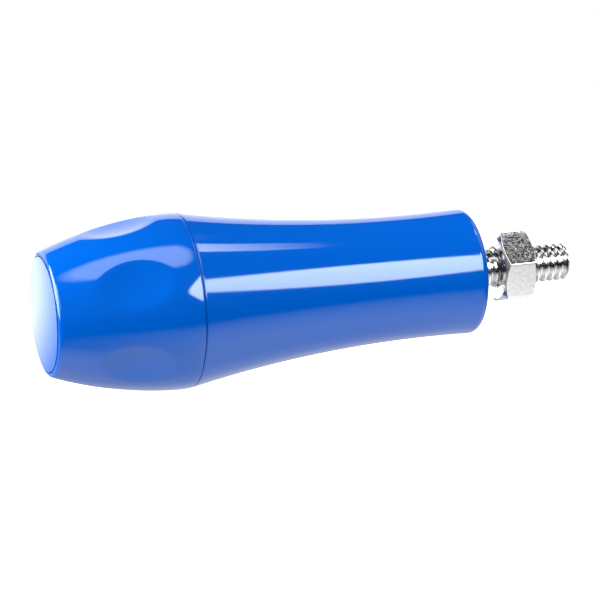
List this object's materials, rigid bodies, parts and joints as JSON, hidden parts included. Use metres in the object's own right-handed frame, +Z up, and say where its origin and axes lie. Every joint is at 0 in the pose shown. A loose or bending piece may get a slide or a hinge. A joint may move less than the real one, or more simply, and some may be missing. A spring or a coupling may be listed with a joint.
{
  "type": "revolving machine handle",
  "caption": "Waisted plastic hand grip with a scalloped head and end cap, turning freely on a spindle with a threaded stud and lock nut.",
  "frame": {"origin": "centre of the lock nut's outer face, on the handle's axis, where the free end of the stud begins", "axes": "+X along the handle's axis, out of the stud's free end; +Z up through the middle of a finger scallop"},
  "size_m": [0.0907, 0.0288, 0.0288],
  "materials": {
    "blue_plastic": "polished deep blue",
    "plated_steel": "bright zinc plate over slightly rough steel",
    "turned_steel": "turned",
    "spring_steel": "dark phosphate",
    "bearing_plastic": "natural acetal"
  },
  "bodies": {
    "spindle": {"spindle": "turned_steel", "threaded_stud": "plated_steel", "outer_thrust_washer": "turned_steel", "inner_thrust_washer": "turned_steel", "retaining_ring": "spring_steel"},
    "grip": {"grip_sleeve": "blue_plastic", "grip_head": "blue_plastic", "end_cap": "blue_plastic", "front_bush": "bearing_plastic", "rear_bush": "bearing_plastic"},
    "lock_nut": {"lock_nut": "plated_steel"}
  },
  "joints": [
    {"name": "grip_turn", "type": "hinge", "parent": "spindle", "child": "grip", "pos_m": [-0.06031, 0, 0], "axis": [1, 0, 0], "continuous": true},
    {"name": "nut_travel", "type": "slide", "parent": "spindle", "child": "lock_nut", "axis": [1, 0, 0], "range_m": [-0.00381, 0.00508]}
  ]
}
